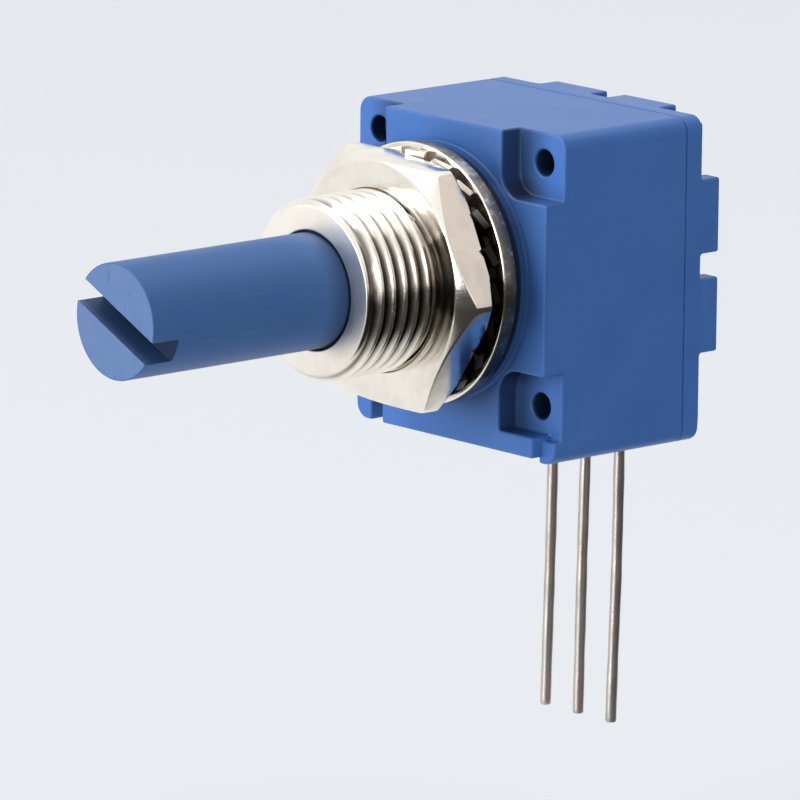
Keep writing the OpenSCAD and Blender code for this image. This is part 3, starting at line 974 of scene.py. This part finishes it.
@dataclass
class Shaft:
    """The moulded shaft with its screwdriver slot, grooves, keyed stretch and pilot pin."""

    finishes: Finishes
    radius: float = 3.0
    journal_r: float = 2.8
    journal: float = -7.15
    end: float = -20.2
    slot_half: float = 0.65
    slot_depth: float = 1.7
    slot_deg: float = -25.5
    groove_r: float = 2.2
    groove: tuple[float, float] = (1.6, 2.8)
    clip_r: float = 2.35
    clip: tuple[float, float] = (4.74, 5.28)
    shoulder: float = 6.01
    key_r: float = 2.3
    key_flat: float = 1.8
    key_end: float = 8.01
    pilot_r: float = 0.9
    pilot_end: float = 10.3
    edge: float = 0.05
    edge_over_deg: float = 60.0
    arc_points: int = 81
    slot_points: int = 9

    @property
    def _half(self) -> float:
        """Angle between the slot's middle plane and its edge, at the shaft's round side."""
        return math.asin(self.slot_half / self.radius)

    def _place(self, u: np.ndarray, w: np.ndarray, y: np.ndarray | float) -> np.ndarray:
        """Points from u along the slot, w across it and y along the shaft."""
        c, s = math.cos(math.radians(self.slot_deg)), math.sin(math.radians(self.slot_deg))
        return np.stack(np.broadcast_arrays(u * c - w * s, y, u * s + w * c), -1)

    def _prong(self, skin: Skin, sign: float) -> None:
        """Adds one side of the slotted end: its round wall, slot wall and end face.

        The end face is ruled between the arc and the chord, which have the same count of points.
        """
        arc = np.linspace(self._half, math.pi - self._half, self.arc_points)
        reach = self.radius * math.cos(self._half)
        u_arc, w_arc = self.radius * np.cos(arc), sign * self.radius * np.sin(arc)
        u_chord = np.linspace(reach, -reach, self.arc_points)
        w_chord = np.full(self.arc_points, sign * self.slot_half)
        levels = (self.end + self.slot_depth, self.end)
        lines = ((u_arc, w_arc), (u_chord, w_chord))
        for line in lines:
            skin.grid(np.stack([self._place(*line, y) for y in levels]))
        skin.grid(np.stack([self._place(*line, self.end) for line in lines]))

    def _floor(self, skin: Skin) -> None:
        """Adds the slot's floor, whose ends follow the shaft's round side."""
        across = np.linspace(self.slot_half, -self.slot_half, self.slot_points)[:, None]
        along = np.linspace(1, -1, self.arc_points)[None, :]
        reach = np.sqrt(self.radius**2 - across**2)
        skin.grid(self._place(along * reach, across + 0 * along, self.end + self.slot_depth))

    def build(self) -> None:
        """Makes the shaft and rounds its moulded edges."""
        side = np.linspace(self._half, math.pi - self._half, self.arc_points)[:-1]
        across = np.linspace(self.slot_half, -self.slot_half, self.slot_points)[:-1]
        ends = np.arcsin(across / self.radius)
        local = np.concatenate([side, math.pi - ends, math.pi + side, TAU + ends])
        angles = np.sort(np.mod(local, TAU)) + math.radians(self.slot_deg)
        key = flatted(self.key_r, self.key_flat, angles)
        stations = [
            (self.radius, self.end + self.slot_depth),
            (self.radius, self.journal - self.edge),
            (self.radius - self.edge, self.journal),
            (self.journal_r, self.journal),
            (self.journal_r, self.groove[0]),
            (self.groove_r, self.groove[0]),
            (self.groove_r, self.groove[1]),
            (self.journal_r, self.groove[1]),
            (self.journal_r, self.clip[0]),
            (self.clip_r, self.clip[0]),
            (self.clip_r, self.clip[1]),
            (self.journal_r, self.clip[1]),
            (self.journal_r, self.shoulder),
            (key, self.shoulder),
            (key, self.key_end),
            (self.pilot_r, self.key_end),
            (self.pilot_r, self.pilot_end),
            (0.0, self.pilot_end),
        ]
        skin = Skin()
        skin.grid(turned(profile(stations, angles), angles), wrap=True)
        self._prong(skin, 1.0)
        self._prong(skin, -1.0)
        self._floor(skin)
        piece = add_piece(
            "shaft_moulded",
            skin.mesh("shaft_moulded"),
            Body.SPINDLE,
            Slot.SHAFT_PLASTIC,
            self.finishes,
            ["shaft"],
        )
        round_edges(piece, self.edge, self.edge_over_deg)


@dataclass
class Leads:
    """The three tinned wire leads, each from its solder joint through a bend to its cut tip."""

    finishes: Finishes
    pitch: float = 2.54
    radius: float = 0.3
    start_y: float = 9.12
    back_y: float = 12.30
    entry_z: float = -6.7
    bend_r: float = 0.7
    lean_deg: float = 1.2
    leg: float = 17.75
    coat: float = 0.012
    ring_points: int = 24

    def _path(self, bow: float) -> np.ndarray:
        """Points of one wire's middle line in y and z.

        It runs straight back, turns down on a circle and leans forward on its long leg, with a
        slow bow of a few hundredths that is zero at both ends of the leg.
        """
        lean = math.radians(self.lean_deg)
        centre_y = self.back_y - self.bend_r
        along = np.linspace(self.start_y, centre_y, 12)
        straight = np.stack([along, np.full_like(along, self.entry_z)], -1)
        turn = np.linspace(math.pi / 2, -lean, 16)[1:]
        centre = np.array([centre_y, self.entry_z - self.bend_r])
        bend = centre + self.bend_r * np.stack([np.cos(turn), np.sin(turn)], -1)
        share = np.linspace(0, 1, 60)[1:]
        down = np.stack([-np.sin(lean) * share, -np.cos(lean) * share], -1) * self.leg
        leg = bend[-1] + down
        leg[:, 0] += bow * np.sin(share * math.pi) ** 2
        return np.concatenate([straight, bend, leg])

    def _wire(self, name: str, x: float, bow: float, ripple: float) -> None:
        """Makes one lead: a circle carried along the path, with rounded ends.

        Each ring stands square to the path. Its radius varies by twice the coat along the wire,
        as a dipped coat does, and shrinks to nothing over a quarter circle at both ends.
        """
        path = self._path(bow)
        tangent = np.gradient(path, axis=0)
        tangent /= np.linalg.norm(tangent, axis=1, keepdims=True)
        distance = np.concatenate([[0], np.cumsum(np.linalg.norm(np.diff(path, axis=0), axis=1))])
        wave = np.sin(distance * 1.7 + ripple) * np.sin(distance * 0.6)
        radius = self.radius - self.coat + self.coat * wave
        rim = np.array([0.0, 0.72, 0.93, 1.0])
        inset = np.array([0.0, 0.0, 0.035, 0.1])
        first = path[0] + tangent[0] * inset[:, None]
        last = path[-1] - tangent[-1] * inset[::-1][:, None]
        centres = np.concatenate([first, path[1:-1], last])
        directions = np.concatenate(
            [np.repeat(tangent[:1], 4, 0), tangent[1:-1], np.repeat(tangent[-1:], 4, 0)]
        )
        radii = np.concatenate([radius[0] * rim, radius[1:-1], radius[-1] * rim[::-1]])
        angles = np.linspace(0, TAU, self.ring_points, endpoint=False)
        across = np.stack([-directions[:, 1], directions[:, 0]], -1)
        side, out = np.cos(angles), np.sin(angles)
        y = centres[:, 0, None] + radii[:, None] * across[:, 0, None] * out
        z = centres[:, 1, None] + radii[:, None] * across[:, 1, None] * out
        skin = Skin()
        skin.grid(np.stack([x + radii[:, None] * side, y, z], -1), wrap=True)
        add_piece(
            f"{name}_wire",
            skin.mesh(f"{name}_wire"),
            Body.HOUSING,
            Slot.TINNED_WIRE,
            self.finishes,
            [name],
        )

    def build(self) -> None:
        """Makes the three wires."""
        self._wire("lead_ccw", -self.pitch, 0.03, 0.4)
        self._wire("lead_wiper", 0.0, -0.03, 1.9)
        self._wire("lead_cw", self.pitch, 0.08, 3.1)


@dataclass
class InnerParts:
    """The CAD nodes that keep their own shape and take a finish."""

    nodes: dict[str, bpy.types.Object]
    finishes: Finishes

    def _slots(self) -> dict[str, Slot]:
        """The finish of each node that is shown as it is."""
        return {
            "lock_washer": Slot.SPRING_STEEL,
            "element_plate": Slot.CERAMIC,
            "resistance_track": Slot.RESISTOR_FILM,
            "collector_track": Slot.CONDUCTOR_FILM,
            "end_pad_ccw": Slot.CONDUCTOR_FILM,
            "end_pad_cw": Slot.CONDUCTOR_FILM,
            "solder_joints": Slot.SOLDER,
            "sealing_ring": Slot.SEAL_RUBBER,
            "thrust_washer": Slot.WASHER_PLASTIC,
            "retaining_clip": Slot.SPRING_STEEL,
            "rotor": Slot.ROTOR_PLASTIC,
            "wiper_contact": Slot.CONTACT_METAL,
        }

    def build(self) -> None:
        """Gives each node its material."""
        for name, slot in self._slots().items():
            node = self.nodes[name]
            node.data.materials.clear()
            node.data.materials.append(self.finishes[slot])
            LOG.info("node %s: %s", name, slot.value)


@dataclass(frozen=True)
class Lamp:
    """One soft rectangular lamp, aimed at the part."""

    name: str
    place: tuple[float, float, float]
    size: tuple[float, float]
    power: float

    def build(self, target: Vector) -> None:
        """Adds the lamp. place and size are in metres."""
        data = bpy.data.lights.new(self.name, "AREA")
        data.shape = "RECTANGLE"
        data.size, data.size_y = self.size
        data.energy = self.power
        lamp = add_object(self.name, data)
        lamp.location = self.place
        lamp.rotation_mode = "QUATERNION"
        lamp.rotation_quaternion = (target - Vector(self.place)).to_track_quat("-Z", "Y")


@dataclass(frozen=True)
class Camera:
    """The photograph's camera, from a fit to the corner holes, edges, shaft, nut and leads."""

    azimuth_deg: float = 48.173
    elevation_deg: float = 11.859
    roll_deg: float = 0.61
    distance_mm: float = 483.634
    focal_px: float = 9358.778
    origin_px: tuple[float, float] = (441.078, 269.351)
    origin_y_mm: float = 1.80
    frame_px: float = 800.0
    sensor_mm: float = 36.0

    def build(self) -> None:
        """Adds the camera and makes it the scene's.

        The axes are turned by azimuth, elevation and roll, and the place is moved in the
        picture's plane so that the fitted origin lies on its own pixel.
        """
        a, e, r = (math.radians(v) for v in (self.azimuth_deg, self.elevation_deg, self.roll_deg))
        back = Vector((math.sin(a) * math.cos(e), -math.cos(a) * math.cos(e), math.sin(e)))
        level = Vector((math.cos(a), math.sin(a), 0.0))
        upright = back.cross(level)
        right = level * math.cos(r) + upright * math.sin(r)
        up = upright * math.cos(r) - level * math.sin(r)
        half = self.frame_px / 2
        per_px = self.distance_mm / self.focal_px
        place = (
            back * self.distance_mm
            - right * (self.origin_px[0] - half) * per_px
            - up * (half - self.origin_px[1]) * per_px
            + Vector((0, self.origin_y_mm, 0))
        ) * MM
        data = bpy.data.cameras.new("camera")
        data.sensor_width = self.sensor_mm
        data.lens = self.focal_px * self.sensor_mm / self.frame_px
        data.clip_start, data.clip_end = 0.01, 20.0
        camera = add_object("camera", data)
        axes = Matrix((right, up, back)).transposed().to_4x4()
        camera.matrix_world = Matrix.Translation(place) @ axes
        bpy.context.scene.camera = camera


@dataclass(frozen=True)
class Studio:
    """Pale floor, soft lamps and a pale surrounding."""

    floor_z_mm: float = -31.0
    floor_half: float = 3.0
    floor_colour: Colour = (0.70, 0.71, 0.73)
    floor_glow: float = 0.8
    floor_mirror: float = 0.95
    surround: Colour = (0.83, 0.865, 0.90)
    dim: Colour = (0.05, 0.045, 0.04)
    tan: Colour = (0.72, 0.60, 0.54)
    bright: Colour = (1.0, 0.99, 0.96)
    ambient: float = 0.42

    def _floor(self) -> None:
        """Adds the floor, which metal mirrors pale at the left and dim at the right."""
        half, z = self.floor_half, self.floor_z_mm * MM
        mesh = bpy.data.meshes.new("floor")
        corners = [(-half, -half, z), (half, -half, z), (half, half, z), (-half, half, z)]
        mesh.from_pydata(corners, [], [(0, 1, 2, 3)])
        floor = add_object("floor", mesh)
        material, s = new_shader("floor_paint")
        x, _, _ = s.axes()
        paint = s.node("ShaderNodeBsdfDiffuse", {"Color": self.floor_colour, "Roughness": 0.0})
        glow = s.node("ShaderNodeEmission", {"Color": self.surround, "Strength": 1.0})
        sides = s.blend(x.ramp(2.0, 14.0), self.bright, self.dim)
        mirrored = s.node("ShaderNodeEmission", {"Color": sides, "Strength": self.floor_mirror})
        mixed = s.mix(s.ray("Camera") * self.floor_glow, paint, glow)
        mixed = s.mix(s.ray("Glossy"), mixed, mirrored)
        s.node("ShaderNodeOutputMaterial", {"Surface": mixed})
        mesh.materials.append(material)
        floor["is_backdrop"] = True

    def _world(self) -> None:
        """Lights the part evenly and shows a pale surrounding to the camera.

        What the metal mirrors is brighter up, in front and to the left, and dim low on the
        right, as in a room with one large window: the brightness is
        0.45 - 0.55 x - 0.25 y + 0.75 z of the direction. A fainter glow stands to the right.
        """
        world = bpy.data.worlds.new("surround")
        bpy.context.scene.world = world
        world.use_nodes = True
        s = Shader(world.node_tree)
        x, y, z = s.parts("Generated")
        level = 0.45 - x * 0.55 - y * 0.25 + z * 0.75
        room = s.blend(level.ramp(0.05, 0.35), self.dim, self.tan)
        room = s.blend(level.ramp(0.45, 0.8), room, self.bright)
        glow = (x * 0.78 + y * 0.61).ramp(0.7, 0.98) * 0.65
        room = s.blend(glow, room, self.bright)
        soft, mirrored, shown = (
            s.node("ShaderNodeBackground", {"Color": colour, "Strength": strength})
            for colour, strength in (((1, 1, 1), self.ambient), (room, 1.0), (self.surround, 1.0))
        )
        mixed = s.mix(s.ray("Camera"), s.mix(s.ray("Glossy"), soft, mirrored), shown)
        s.node("ShaderNodeOutputWorld", {"Surface": mixed})

    def build(self) -> None:
        """Adds floor, surrounding and lamps."""
        self._floor()
        self._world()
        target = Vector((0.0, 0.0, 0.0))
        for lamp in (
            Lamp("key_lamp", (-0.20, -0.34, 0.34), (0.22, 0.22), 1.5),
            Lamp("top_lamp", (0.05, 0.12, 0.45), (0.30, 0.30), 0.75),
            Lamp("front_lamp", (-0.02, -0.50, 0.0), (0.25, 0.25), 2.2),
            Lamp("side_lamp", (0.42, -0.10, 0.10), (0.25, 0.25), 0.15),
        ):
            lamp.build(target)
        bpy.context.scene.view_settings.view_transform = "Standard"


def corners() -> list[list[float]]:
    """The shown object's lowest and highest corner, as plain lists."""
    return [list(corner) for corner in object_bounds()]


def main() -> None:
    logging.basicConfig(level=logging.INFO, format="%(name)s %(message)s")
    for name in ("Cube", "Light", "Camera"):
        if name in bpy.data.objects:
            bpy.data.objects.remove(bpy.data.objects[name])
    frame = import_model()
    nodes = frame["nodes"]
    finishes = Finishes()
    Camera().build()
    Studio().build()
    Housing(nodes, finishes).build()
    Bushing(finishes).build()
    PanelNut(finishes).build()
    Shaft(finishes).build()
    Leads(finishes).build()
    InnerParts(nodes, finishes).build()


if __name__ == "__main__":
    main()
